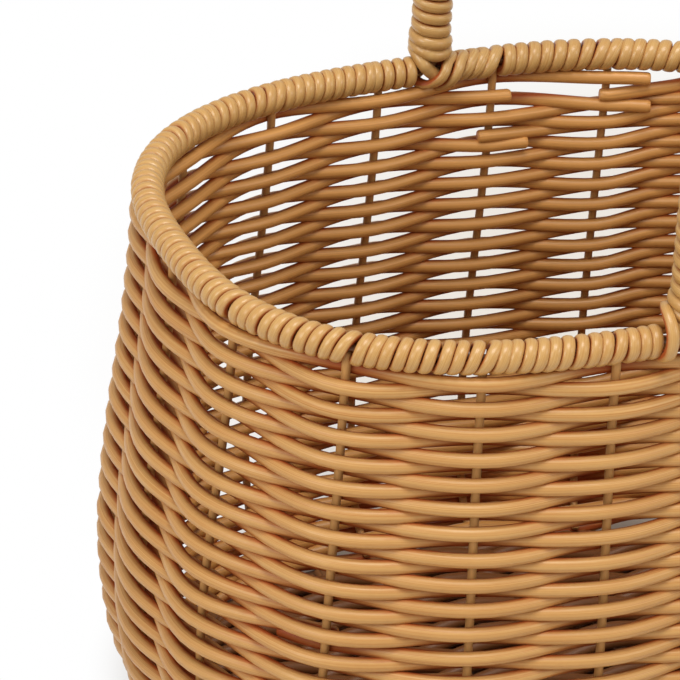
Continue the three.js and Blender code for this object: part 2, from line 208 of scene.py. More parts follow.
class WallSection:
    """The middle of the wall in section, from the rim's centre down to the foot ring: offset and height."""

    STEPS = 160

    def __init__(self, sizes, base_level):
        flare = sizes.rim_height - sizes.bulge_height
        rim = Vector((0, sizes.rim_height))
        below_rim = Vector((0, sizes.rim_height - sizes.upright_below_rim * flare))
        above_bulge = Vector((sizes.bulge, sizes.bulge_height + sizes.upright_above_bulge * flare))
        bulge = Vector((sizes.bulge, sizes.bulge_height))
        points = []
        for i in range(self.STEPS + 1):
            t = i / self.STEPS
            s = 1 - t
            points.append(s**3 * rim + 3 * s * s * t * below_rim + 3 * s * t * t * above_bulge + t**3 * bulge)
        for i in range(1, self.STEPS + 1):
            angle = -math.pi / 2 * i / self.STEPS
            across = (sizes.bulge + sizes.base_inset) * math.cos(angle)
            rise = (sizes.bulge_height - base_level) * math.sin(angle)
            points.append(Vector((across - sizes.base_inset, sizes.bulge_height + rise)))
        self.line = Walk(points)
        self.length = self.line.length

    def at(self, down, lift=0.0):
        """Offset and height at a distance down from the rim, moved out of the wall's middle by a lift."""
        place, along = self.line.at(down)
        return place + Vector((-along.y, along.x)) * lift


class Basket:
    """Where every piece of the basket lies, worked out from its sizes."""

    STAKE_LEAN = 0.0022
    LASH_RISE = 0.0068
    ARCH_STEPS = 240

    def __init__(self, sizes):
        self.sizes = sizes
        self.stakes = 2 * sizes.stake_pairs
        self.foot_height = sizes.floor_clearance + sizes.strand
        self.base_level = self.foot_height + sizes.seat + sizes.stake_wire / 2
        self.row_pitch = sizes.strand + sizes.row_gap
        self.lift = sizes.stake_wire / 2 + sizes.seat + sizes.strand / 2
        self.rim_radius = sizes.rim_wire / 2 + sizes.seat + sizes.strand
        self.oval = OvalPlan(sizes.rim_half_length, sizes.rim_half_width, sizes.oval_power)
        self.wall = WallSection(sizes, self.base_level)
        self.first_row = self.rim_radius + sizes.seat + sizes.strand / 2
        foot_edge = -sizes.base_inset + sizes.foot_width / 2 + sizes.seat + sizes.strand / 2
        self.rows = 0
        while self.wall.at(self.first_row + self.rows * self.row_pitch).x >= foot_edge:
            self.rows += 1
        half = sizes.rim_half_length - sizes.base_inset
        spaces = sizes.base_wires + 1
        self.base_wires = [half * (2 * (i + 1) / spaces - 1) for i in range(sizes.base_wires)]
        self.lash_over_rim = self.rim_radius + sizes.seat + sizes.strand / 2
        self.lash_round_leg = sizes.handle_rod / 2 + 2 * sizes.seat + sizes.strand / 2
        self.lash_end = self.lash_over_rim + self.LASH_RISE

    def stake_share(self, k, down=0.0):
        """The share of the way round at which a stake stands; each leans a little as it goes down."""
        lean = self.STAKE_LEAN * waver(k * 3.1, down * 6.0, 1.0)
        return k / self.stakes + (self.sizes.stake_offset + lean) / self.oval.length

    def on_wall(self, share, down, lift=0.0):
        """A place at a share of the way round the wall, a distance down from the rim."""
        section = self.wall.at(down, lift)
        place, outward = self.oval.at(share)
        place = place + outward * section.x
        place.z = section.y
        return place

    def on_rim(self, share):
        """The rim's centre and outward direction at a share of the way round."""
        place, outward = self.oval.at(share)
        place.z = self.sizes.rim_height
        return place, outward

    def hoop(self):
        """The handle's centreline in its own plane, from the front foot over the arch to the back foot."""
        sizes = self.sizes
        shoulder = sizes.rim_height + sizes.handle_leg
        line = [Vector((0, -sizes.rim_half_width, sizes.rim_height))]
        for i in range(self.ARCH_STEPS + 1):
            angle = math.pi * (1 - i / self.ARCH_STEPS)
            y = sizes.rim_half_width * math.cos(angle)
            line.append(Vector((0, y, shoulder + sizes.handle_arch * math.sin(angle))))
        line.append(Vector((0, sizes.rim_half_width, sizes.rim_height)))
        return Walk(line)


def ease(share):
    """A share from 0 to 1, eased at both ends."""
    share = min(max(share, 0.0), 1.0)
    return share * share * (3 - 2 * share)


def waver(x, y, z):
    """A smooth irregularity of hand work, about -1 to 1; x, y and z only say where in it to look."""
    return noise.noise(Vector((x + 7.3, y + 2.9, z + 5.1)))


def placed(name, data):
    """A new object in the scene."""
    piece = bpy.data.objects.new(name, data)
    bpy.context.scene.collection.objects.link(piece)
    return piece


# Strands.

# A cut end: distances from it in diameters, and the girth there.
BLUNT_END = ((0.0, 0.55), (0.05, 0.86), (0.22, 1.0))
# How far a strand's girth varies, and how fast it does so per metre.
UNEVEN = 0.02
UNEVEN_PACE = 60
# A wound strand's section: how square it is, and where on its sides the recess that gets painted shade starts
# and how wide it is.
SQUARE_POWER = 2.6
RECESS_START = -0.05
RECESS_WIDTH = 0.77
SAME_SPOT = 1e-7


def blunt_ends(places, diameter):
    """The places with a short blunt rounding at both ends, and the strand's girth at each."""
    onward = (places[1] - places[0]).normalized()
    back = (places[-2] - places[-1]).normalized()
    start = [places[0] + onward * diameter * along for along, _ in BLUNT_END]
    end = [places[-1] + back * diameter * along for along, _ in reversed(BLUNT_END)]
    girths = [girth for _, girth in BLUNT_END]
    return start + places[1:-1] + end, girths + [1.0] * (len(places) - 2) + girths[::-1]


def strand_tube(name, places, girths, diameter, uneven, closed, steps, sides):
    """A round tube through the places, bent as a springy strand bends."""
    line = bpy.data.curves.new(name, "CURVE")
    line.dimensions = "3D"
    line.bevel_depth = diameter / 2
    line.bevel_resolution = (sides - 4) // 2
    line.resolution_u = steps
    line.use_fill_caps = not closed
    run = line.splines.new("BEZIER")
    last = len(places) - 1
    run.bezier_points.add(last)
    run.use_cyclic_u = closed
    for i, point in enumerate(run.bezier_points):
        here = places[i]
        before = places[i - 1] if i or closed else here
        after = places[(i + 1) % len(places)] if i < last or closed else here
        heading = (after - before).normalized()
        point.co = here
        point.handle_left_type = "FREE"
        point.handle_right_type = "FREE"
        point.handle_left = here - heading * (here - before).length / 3
        point.handle_right = here + heading * (after - here).length / 3
        spot = here.x * UNEVEN_PACE, here.y * UNEVEN_PACE, here.z * UNEVEN_PACE
        point.radius = girths[i] * (1 + uneven * waver(*spot))
    maker = placed(name, line)
    mesh = bpy.data.meshes.new_from_object(maker.evaluated_get(bpy.context.evaluated_depsgraph_get()))
    bpy.data.objects.remove(maker)
    bpy.data.curves.remove(line)
    return mesh


def strand_mesh(
    name, places, diameter, uneven, closed=False, steps=6, sides=12,
    girths=None, core=None, thinner=1.0, hidden=None,
):
    """A round strand through the places, with its own length and turn as UV.

    Its vertices hold how far they lie in a recess and on the wall's inner side, which set where shade and a
    redder light are painted on it.
    """
    if not closed:
        places, girths = blunt_ends(places, diameter)
    girths = girths or [1.0] * len(places)
    mesh = strand_tube(name, places, girths, diameter, uneven, closed, steps, sides)
    reach = sum((b - a).length for a, b in zip(places, places[1:]))
    shape = bmesh.new()
    shape.from_mesh(mesh)
    recess = shape.verts.layers.float.new("recess")
    inner = shape.verts.layers.float.new("inner")
    if core:
        press_flat(shape, sides, core, thinner, recess)
    turn = shape.loops.layers.uv.active
    for face in shape.faces:
        face.smooth = True
        for loop in face.loops:
            loop[turn].uv.y *= reach
    bmesh.ops.remove_doubles(shape, verts=shape.verts, dist=SAME_SPOT)
    bmesh.ops.recalc_face_normals(shape, faces=shape.faces)
    if hidden:
        shape.normal_update()
        for vert in shape.verts:
            vert[recess], vert[inner] = hidden(vert.co, vert.normal)
    shape.to_mesh(mesh)
    shape.free()
    mesh.name = name
    return mesh


def nearest_of(places):
    """A tree that finds the nearest of the places."""
    tree = kdtree.KDTree(len(places))
    for i, place in enumerate(places):
        tree.insert(place, i)
    tree.balance()
    return tree


def press_flat(shape, sides, core, thinner, recess):
    """Squares a wound strand's section and thins it on its core; its sides lie in a recess, marked for
    painted shade.
    """
    tree = nearest_of(core)
    shape.verts.ensure_lookup_table()
    rings = [shape.verts[i : i + sides] for i in range(0, len(shape.verts), sides)]
    middles = [sum((vert.co for vert in ring), Vector()) / sides for ring in rings]
    for i, ring in enumerate(rings):
        middle = middles[i]
        heading = (middles[(i + 1) % len(rings)] - middles[i - 1]).normalized()
        off = middle - tree.find(middle)[0]
        off = (off - heading * off.dot(heading)).normalized()
        across = heading.cross(off)
        for vert in ring:
            wide = (vert.co - middle).dot(across)
            thick = (vert.co - middle).dot(off)
            girth = math.hypot(wide, thick)
            if girth < SAME_SPOT:
                continue
            # Painted shade: the flanks and underside of each turn, down into the grooves between turns, are
            # marked for a darker red-brown.
            vert[recess] = 1 - ease((thick / girth - RECESS_START) / RECESS_WIDTH)
            bulk = abs(wide / girth) ** SQUARE_POWER + abs(thick / girth) ** SQUARE_POWER
            square = bulk ** (-1 / SQUARE_POWER)
            vert.co += across * wide * (square - 1) + off * thick * (square * thinner - 1)


def hidden_in_wall(basket, radius):
    """A function that tells how far a spot on a strand is hidden in the wall, and on its inner side, for
    painted shade and painted redder light.
    """
    around = 360
    rows = 60
    stand_weight = 0.7
    fade = 0.8
    spots = []
    for i in range(around):
        for j in range(rows + 1):
            down = basket.wall.length * j / rows
            spot = basket.on_wall(i / around, down)
            spots.append((spot, (basket.on_wall(i / around, down, radius) - spot).normalized()))
    tree = nearest_of([spot for spot, _ in spots])

    def hidden(place, normal):
        spot, outward = spots[tree.find(place)[1]]
        facing = normal.dot(outward)
        stands = ((place - spot).dot(outward) - radius * facing) / basket.lift
        shown = (facing + stand_weight * stands) / fade
        # The inner side is marked for its painted redder light.
        inner = ease(-shown)
        # The first value, how far the spot is hidden, sets its painted recess shade.
        return 1 - max(ease(shown), inner), inner

    return hidden


def dress(mesh, finish, node):
    """Makes a finished piece of a mesh, in place of the CAD node that it stands for."""
    piece = placed(mesh.name, mesh)
    mesh.materials.append(finish)
    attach(piece, BODY)
    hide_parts(node)


def lay(node, finish, slot, places, diameter, **bend):
    """Lays a strand or a coated wire through the places, as the piece that stands for a CAD node."""
    coated = slot in ("wire", "stake")
    name = node + ("_coated" if coated else "_strand")
    mesh = strand_mesh(name, places, diameter, 0.0 if coated else UNEVEN, **bend)
    dress(mesh, finish_of(finish), node)


# Finishes.


class Value:
    """A shader socket that Python's operators work on."""

    def __init__(self, shade, socket):
        self.shade = shade
        self.socket = socket

    def math(self, operation, *others):
        inputs = dict(enumerate((self, *others)))
        return self.shade.make("ShaderNodeMath", {"operation": operation}, inputs)

    def __add__(self, other):
        return self.math("ADD", other)

    def __sub__(self, other):
        return self.math("SUBTRACT", other)

    def __mul__(self, other):
        return self.math("MULTIPLY", other)

    def swing(self, width):
        """Noise from 0 to 1, centred on 0 and swinging over a width."""
        return (self - 0.5) * width

    def other(self, name):
        """Another output of the same node."""
        return Value(self.shade, self.socket.node.outputs[name])


class Shade:
    """One finish and its node tree."""

    def __init__(self, name):
        self.material = bpy.data.materials.new(name)
        self.material.use_nodes = True
        self.tree = self.material.node_tree
        self.tree.nodes.clear()

    def make(self, kind, settings=None, inputs=None, output=0):
        """A node of that kind, with its settings and its sockets' values or links, as one of its outputs."""
        node = self.tree.nodes.new(kind)
        for name, value in (settings or {}).items():
            setattr(node, name, value)
        for name, value in (inputs or {}).items():
            socket = node.inputs[name]
            if isinstance(value, Value):
                self.tree.links.new(value.socket, socket)
            else:
                socket.default_value = value
        return Value(self, node.outputs[output]) if len(node.outputs) else None

    def place(self):
        """The place on the object, in metres."""
        return self.make("ShaderNodeTexCoord", None, None, 3)

    def joined(self, x, y, z):
        return self.make("ShaderNodeCombineXYZ", None, {0: x, 1: y, 2: z})

    def told(self, attribute):
        """What the vertices hold under that name."""
        return self.make("ShaderNodeAttribute", {"attribute_name": attribute}, None, 2)

    def blend(self, factor, a, b):
        """A colour between two colours."""
        settings = {"data_type": "RGBA", "blend_type": "MIX"}
        return self.make("ShaderNodeMix", settings, {0: factor, 6: a, 7: b}, 2)

    def grain(self, vector, scale, detail=2.0, rough=0.5):
        """Smooth noise from 0 to 1."""
        inputs = {"Vector": vector, "Scale": scale, "Detail": detail, "Roughness": rough}
        return self.make("ShaderNodeTexNoise", {"noise_dimensions": "3D"}, inputs)

    def bump(self, strength, distance, height):
        inputs = {"Strength": strength, "Distance": distance, "Height": height}
        return self.make("ShaderNodeBump", None, inputs)

    def finish(self, surface):
        self.make("ShaderNodeOutputMaterial", None, {"Surface": surface})
        return self.material


def opaque(tint, strength=1.0):
    """A colour for a socket, made deeper or paler by its strength."""
    return (*(min(1.0, strength * part) for part in tint), 1.0)


def strand_finish(name, pale, deep, inside, recess_shade, roughness, coat):
    """Satin extruded plastic: drifting tone, lengthwise lines and dull patches, with painted shade in the
    recesses and a painted redder light on the wall's inner side.
    """
    shade = Shade(name)
    uv = shade.make("ShaderNodeUVMap", {"uv_map": "UVMap"})
    turn = shade.make("ShaderNodeSeparateXYZ", None, {"Vector": uv})
    along = turn.other(1)
    angle = turn * (2 * math.pi)
    round_x = angle.math("COSINE")
    round_y = angle.math("SINE")
    lines_at = shade.joined(along * 16, round_x * 1.5, round_y * 1.5)
    drift_at = shade.joined(along * 9, round_x * 0.25, round_y * 0.25)
    place = shade.place()
    lines = shade.grain(lines_at, 1.6, 3.0, 0.6)
    drift = shade.grain(drift_at, 1.0, 2.0)
    patch = shade.grain(place, 45.0, 3.0)
    fine = shade.grain(place, 900.0, 2.0)
    depth = drift.swing(0.9) + patch.swing(0.4) + lines.swing(2.2) + 0.45
    depth = depth.math("MAXIMUM", 0.0).math("MINIMUM", 1.0)
    tint = shade.blend(depth, opaque(pale), opaque(deep))
    # Painted light: the wall's inner side is painted a redder tan, standing in for the warm light bounced
    # inside the basket.
    inner_bounce_tint = shade.blend(depth, opaque(inside), opaque(inside, 0.68))
    tint = shade.blend(shade.told("inner") * 0.8, tint, inner_bounce_tint)
    # Painted shade: red-brown where the strand lies hidden in the wall or in the grooves between wound turns;
    # left is how much of it.
    recess = shade.told("recess")
    left = recess * (patch.swing(0.5) + 1.25)
    tint = shade.blend(left.math("MINIMUM", 1.0), tint, opaque(recess_shade))
    inputs = {
        "Base Color": tint,
        "Roughness": patch.swing(0.22) + lines.swing(0.3) + recess * 0.3 + roughness,
        "IOR": 1.5,
        "Specular Tint": (1.0, 0.97, 0.88, 1.0),
        "Coat Weight": coat,
        "Coat Roughness": 0.24,
        "Normal": shade.bump(0.12, 0.0002, lines * 0.7 + fine * 0.3),
    }
    return shade.finish(shade.make("ShaderNodeBsdfPrincipled", None, inputs))


def wire_finish(name, tint, roughness):
    """Dipped brown coating on steel wire, slightly uneven and worn dull in patches."""
    shade = Shade(name)
    place = shade.place()
    patch = shade.grain(place, 70.0, 3.0)
    fine = shade.grain(place, 700.0, 2.0)
    inputs = {
        "Base Color": shade.blend((patch - 0.35) * 1.2, opaque(tint), opaque(tint, 1.35)),
        "Roughness": patch.swing(0.25) + roughness,
        "Normal": shade.bump(0.15, 0.0003, patch * 0.6 + fine * 0.4),
    }
    return shade.finish(shade.make("ShaderNodeBsdfPrincipled", None, inputs))


# Ovals of painted shade on the floor, in which the white glow gives way to the floor's lit shade and real
# shadow: centre, turn, half length and width, and from where to where the shade fades.
SHADE_UNDER = ((0.03, 0.02, 0), 0.0, 0.165, 0.14, 0.8, 1.1)
SHADE_BEHIND = ((0.19, 0.185, 0), math.radians(74), 0.345, 0.262, 0.5, 1.1)
WHITE_IN_SHADE = 0.15


def floor_finish(name, tint):
    """Pale floor: white to the eye, with ovals of painted shade under and behind the object, in which its
    real shadow also shows.
    """
    shade = Shade(name)
    place = shade.place()
    soft = shade.grain(place, 6.0, 2.0)
    paint = shade.blend(soft.swing(0.3) + 0.15, opaque(tint), opaque(tint, 0.97))
    lit = shade.make("ShaderNodeBsdfDiffuse", None, {"Color": paint, "Roughness": 0.6})
    glow = shade.make("ShaderNodeEmission", None, {"Color": (1, 1, 1, 1), "Strength": 1.0})
    seen = shade.make("ShaderNodeLightPath")
    glossy = seen.other("Is Glossy Ray")
    through = seen.other("Is Transmission Ray")
    seen = seen.math("MAXIMUM", glossy).math("MAXIMUM", through)

    def clear_of(centre, angle, half_length, half_width, start, end):
        """From 0 inside an oval on the floor to 1 outside it, with a soft edge."""
        scale = (half_length, half_width, 1)
        oval = {"Vector": place, "Location": centre, "Rotation": (0, 0, angle), "Scale": scale}
        scaled = shade.make("ShaderNodeMapping", {"vector_type": "TEXTURE"}, oval)
        reach = shade.make("ShaderNodeVectorMath", {"operation": "LENGTH"}, {0: scaled}, 1)
        fade = {0: reach, 1: start, 2: end}
        return shade.make("ShaderNodeMapRange", {"interpolation_type": "SMOOTHSTEP"}, fade)

    # Painted shadow: in these ovals the floor shows its own lit shade and the object's real shadow instead of
    # white, so a soft shadow-shaped patch lies behind the basket.
    under = clear_of(*SHADE_UNDER)
    behind = clear_of(*SHADE_BEHIND)
    white = seen * under * (behind * (1 - WHITE_IN_SHADE) + WHITE_IN_SHADE)
    return shade.finish(shade.make("ShaderNodeMixShader", None, {0: white, 1: lit, 2: glow}))


FINISHES = {}


def finish_of(name):
    """The named finish, made the first time that it is asked for."""
    look = bpy.context.scene.basket_finish
    # Each strand's name, pale and deep tone, roughness beside that of all strands, and coat.
    strands = {
        "weave": ("Woven strand", look.weave, look.weave_deep, -0.02, 0.08),
        "winding": ("Winding strand", look.winding, look.winding_deep, -0.09, 0.3),
        # The base's strand is painted deep brown for the shade inside the basket.
        "base": ("Base strand", look.base, [0.7 * part for part in look.base], 0.08, 0.0),
        "stake": ("Stake coating", look.stake, [0.8 * part for part in look.stake], 0.08, 0.0),
    }
    if name not in FINISHES and name in strands:
        title, pale, deep, duller, coat = strands[name]
        roughness = look.roughness + duller
        FINISHES[name] = strand_finish(title, pale, deep, look.inner, look.recess_shade, roughness, coat)
    elif name not in FINISHES:
        FINISHES[name] = wire_finish("Coated wire", look.wire, 0.5)
    return FINISHES[name]


# Pieces.


def basket_of(context):
    """The scene's basket and its sizes."""
    sizes = context.scene.basket_sizes
    return Basket(sizes), sizes


class BASKET_OT_foot_ring(bpy.types.Operator):
    """Make the oval ring that the basket stands on"""

    bl_idname = "basket.foot_ring"
    bl_label = "Foot ring"

    PARTS_PER_STAKE = 8
    EDGE_PARTS = 4

    def execute(self, context):
        basket, sizes = basket_of(context)
        parts = self.PARTS_PER_STAKE * basket.stakes
        outer = sizes.foot_width / 2 - sizes.base_inset
        inner = -sizes.foot_width / 2 - sizes.base_inset
        top = basket.foot_height
        shape = bmesh.new()
        rings = []
        for offset, height in ((outer, 0.0), (outer, top), (inner, top), (inner, 0.0)):
            ring = []
            for i in range(parts):
                place, outward = basket.oval.at(i / parts)
                spot = place + outward * offset
                ring.append(shape.verts.new((spot.x, spot.y, height)))
            rings.append(ring)
        for ring, following in zip(rings, rings[1:] + rings[:1]):
            for i in range(parts):
                shape.faces.new((ring[i - 1], ring[i], following[i], following[i - 1]))
        bmesh.ops.recalc_face_normals(shape, faces=shape.faces)
        corners = [shape.edges.get((ring[i - 1], ring[i])) for ring in rings for i in range(parts)]
        bmesh.ops.bevel(
            shape, geom=corners, offset=sizes.foot_edge, affect="EDGES", segments=self.EDGE_PARTS,
            profile=0.5, material=-1,
        )
        for face in shape.faces:
            face.smooth = True
        mesh = bpy.data.meshes.new("foot_ring_coated")
        shape.to_mesh(mesh)
        shape.free()
        dress(mesh, finish_of("wire"), "foot_ring")
        return {"FINISHED"}


class BASKET_OT_stakes(bpy.types.Operator):
    """Make the upright stakes that the wall is woven on"""

    bl_idname = "basket.stakes"
    bl_label = "Stakes"

    STEPS = 14

    def execute(self, context):
        basket, sizes = basket_of(context)
        top = sizes.rim_wire / 2 + sizes.seat
        bottom = basket.wall.length - sizes.seat
        for k in range(basket.stakes):
            places = []
            for i in range(self.STEPS + 1):
                down = top + (bottom - top) * i / self.STEPS
                places.append(basket.on_wall(basket.stake_share(k, down), down))
            lay(f"stake_{k + 1}", "stake", "stake", places, sizes.stake_wire, steps=4, sides=10)
        return {"FINISHED"}


class BASKET_OT_hidden_wires(bpy.types.Operator):
    """Make the rim's wire, the handle's rod and the cross wires of the base"""

    bl_idname = "basket.hidden_wires"
    bl_label = "Hidden wires"

    RIM_PARTS_PER_STAKE = 4
    ROD_STEPS = 60
    CROSS_STEPS = 8

    def execute(self, context):
        basket, sizes = basket_of(context)
        parts = self.RIM_PARTS_PER_STAKE * basket.stakes
        ring = [basket.on_rim(i / parts)[0] for i in range(parts)]
        lay("rim_wire", "wire", "wire", ring, sizes.rim_wire, closed=True, steps=3, sides=10)
        hoop = basket.hoop()
        foot = sizes.rim_wire / 2 + sizes.seat
        inside = hoop.length - 2 * foot
        rod = [hoop.at(foot + inside * i / self.ROD_STEPS)[0] for i in range(self.ROD_STEPS + 1)]
        lay("handle_rod", "wire", "wire", rod, sizes.handle_rod, steps=3, sides=14)
        half_length = sizes.rim_half_length - sizes.base_inset
        half_width = sizes.rim_half_width - sizes.base_inset
        across = OvalPlan(half_width, half_length, sizes.oval_power)
        for i, x in enumerate(basket.base_wires):
            end = across.reach(x) - sizes.stake_wire / 2 - sizes.seat
            steps = [2 * j / self.CROSS_STEPS - 1 for j in range(self.CROSS_STEPS + 1)]
            wire = [Vector((x, end * step, basket.base_level)) for step in steps]
            lay(f"base_wire_{i + 1}", "wire", "wire", wire, sizes.stake_wire, steps=2, sides=10)
        return {"FINISHED"}


class BASKET_OT_woven_wall(bpy.types.Operator):
    """Weave the wall: two strands chase each other round the stakes, in front of one and behind the next"""

    bl_idname = "basket.woven_wall"
    bl_label = "Woven wall"

    # How far rows wander on their way round, and how far they lie off at a stake.
    ROW_DRIFT = 0.0008
    ROW_SLACK = 0.00025
    # How much of the full bend round a stake a strand takes, and how far that varies.
    SNUG = 0.93
    SNUG_SLACK = 0.0002
    # The cut ends: their lengths, and how far they spring off the wall.
    FIRST_TAIL = 0.006
    TAIL = 0.016
    TAIL_SPRING = 1.08
    TAIL_MIDDLE_SPRING = 1.03
    STUB = 0.004
    STUB_SPRING = 0.96

    def station(self, basket, lane, step):
        """Where a weaver passes a stake: the stake, the distance down from the rim and the wall's side."""
        row = 2 * (step // basket.stakes) + lane
        side = -1 if (step + lane) % 2 == 0 else 1
        stake = basket.sizes.first_stake + step
        angle = 2 * math.pi * stake / basket.stakes
        drift = self.ROW_DRIFT * waver(2 * math.cos(angle), 2 * math.sin(angle), row * 0.16)
        slack = self.ROW_SLACK * waver(stake % basket.stakes * 1.7, row * 2.3, lane * 9.0)
        return stake, basket.first_row + row * basket.row_pitch + drift + slack, side

    def place(self, basket, lane, step, shift=0.0, past=0.0, spring=1.0):
        """The strand's middle at a stake, or a distance past it, moved down the wall by a shift."""
        stake, down, side = self.station(basket, lane, step)
        slack = self.SNUG_SLACK * waver(step * 0.9, lane * 4.0, 3.0)
        lift = side * spring * (self.SNUG * basket.lift + slack)
        share = basket.stake_share(stake, down) + past / basket.oval.length
        return basket.on_wall(share, down + shift, lift)

    def drop(self, basket, lane, step):
        """Half way through its drop a weaver lies in the middle of the wall."""
        down = (self.station(basket, lane, step)[1] + self.station(basket, lane, step + 1)[1]) / 2
        stake = basket.sizes.first_stake + step + 0.5
        return basket.on_wall(basket.stake_share(stake, down), down)

    def run(self, basket, lane, start, end):
        """The places of one length of strand, with its cut ends on the inside of the wall."""
        room = basket.sizes.strand / 2
        below = room if start > lane else 0.0
        tail = self.FIRST_TAIL if start == lane == 1 else self.TAIL
        places = [
            self.place(basket, lane, start, below, -tail, self.TAIL_SPRING),
            self.place(basket, lane, start, below, -tail / 2, self.TAIL_MIDDLE_SPRING),
            self.place(basket, lane, start, below),
        ]
        for step in range(start, end):
            if (step + 1) % basket.stakes == 0:
                places.append(self.drop(basket, lane, step))
            places.append(self.place(basket, lane, step + 1, -room if step + 1 == end else 0.0))
        places.append(self.place(basket, lane, end, -room, self.STUB, self.STUB_SPRING))
        return places

    def execute(self, context):
        basket, sizes = basket_of(context)
        hidden = hidden_in_wall(basket, sizes.weaver / 2)
        splice = sizes.weaver_turns * basket.stakes + 2 * sizes.splice_shift_pairs
        for lane, letter in enumerate("ab"):
            # The wall goes on for one row more than its CAD solid, down to the foot ring.
            last = math.ceil((basket.rows + 1 - lane) / 2) * basket.stakes - 2 + lane
            first = (sizes.first_turns + lane) * basket.stakes + lane
            ends = [lane, *range(first, last, splice), last]
            for i, (start, end) in enumerate(zip(ends, ends[1:])):
                name = f"weaver_{letter}{i + 1}"
                places = self.run(basket, lane, start, end)
                lay(name, "weave", "strand", places, sizes.weaver, steps=8, hidden=hidden)
        return {"FINISHED"}


class BASKET_OT_woven_base(bpy.types.Operator):
    """Weave the base: one strand runs to and fro over and under the cross wires"""

    bl_idname = "basket.woven_base"
    bl_label = "Woven base"

    def execute(self, context):
        basket, sizes = basket_of(context)
        wires = basket.base_wires
        level = basket.base_level
        inset = sizes.base_inset + sizes.foot_width / 2 + sizes.seat + sizes.strand / 2
        mat = OvalPlan(sizes.rim_half_length - inset, sizes.rim_half_width - inset, sizes.oval_power)
        half_rows = math.floor((mat.half_width - sizes.strand / 2) / basket.row_pitch)
        wire_room = sizes.strand / 2 + sizes.stake_wire / 2 + sizes.seat

        def reach(row):
            """How far a row runs from the middle; it turns back before a wire that stands in the way."""
            far = mat.reach(row * basket.row_pitch)
            blocking = [x for x in wires if x - wire_room < far < x + wire_room]
            return blocking[0] - wire_room if blocking else far

        bend = basket.row_pitch / 2
        places = []
        for row in range(-half_rows, half_rows + 1):
            heading = 1 if row % 2 == 0 else -1
            y = row * basket.row_pitch
            end = reach(row)
            places.append(Vector((heading * (bend - end), y, level)))
            crossed = [x for x in wires if abs(x) < end]
            for x in crossed if heading > 0 else crossed[::-1]:
                over = 1 if (wires.index(x) + row) % 2 == 0 else -1
                places.append(Vector((x, y, level + over * basket.lift)))
            places.append(Vector((heading * (end - bend), y, level)))
            if row < half_rows:
                turn = (end + reach(row + 1)) / 2
                places.append(Vector((heading * turn, y + bend, level)))
        lay("base_weave", "base", "base", places, sizes.weaver)
        return {"FINISHED"}


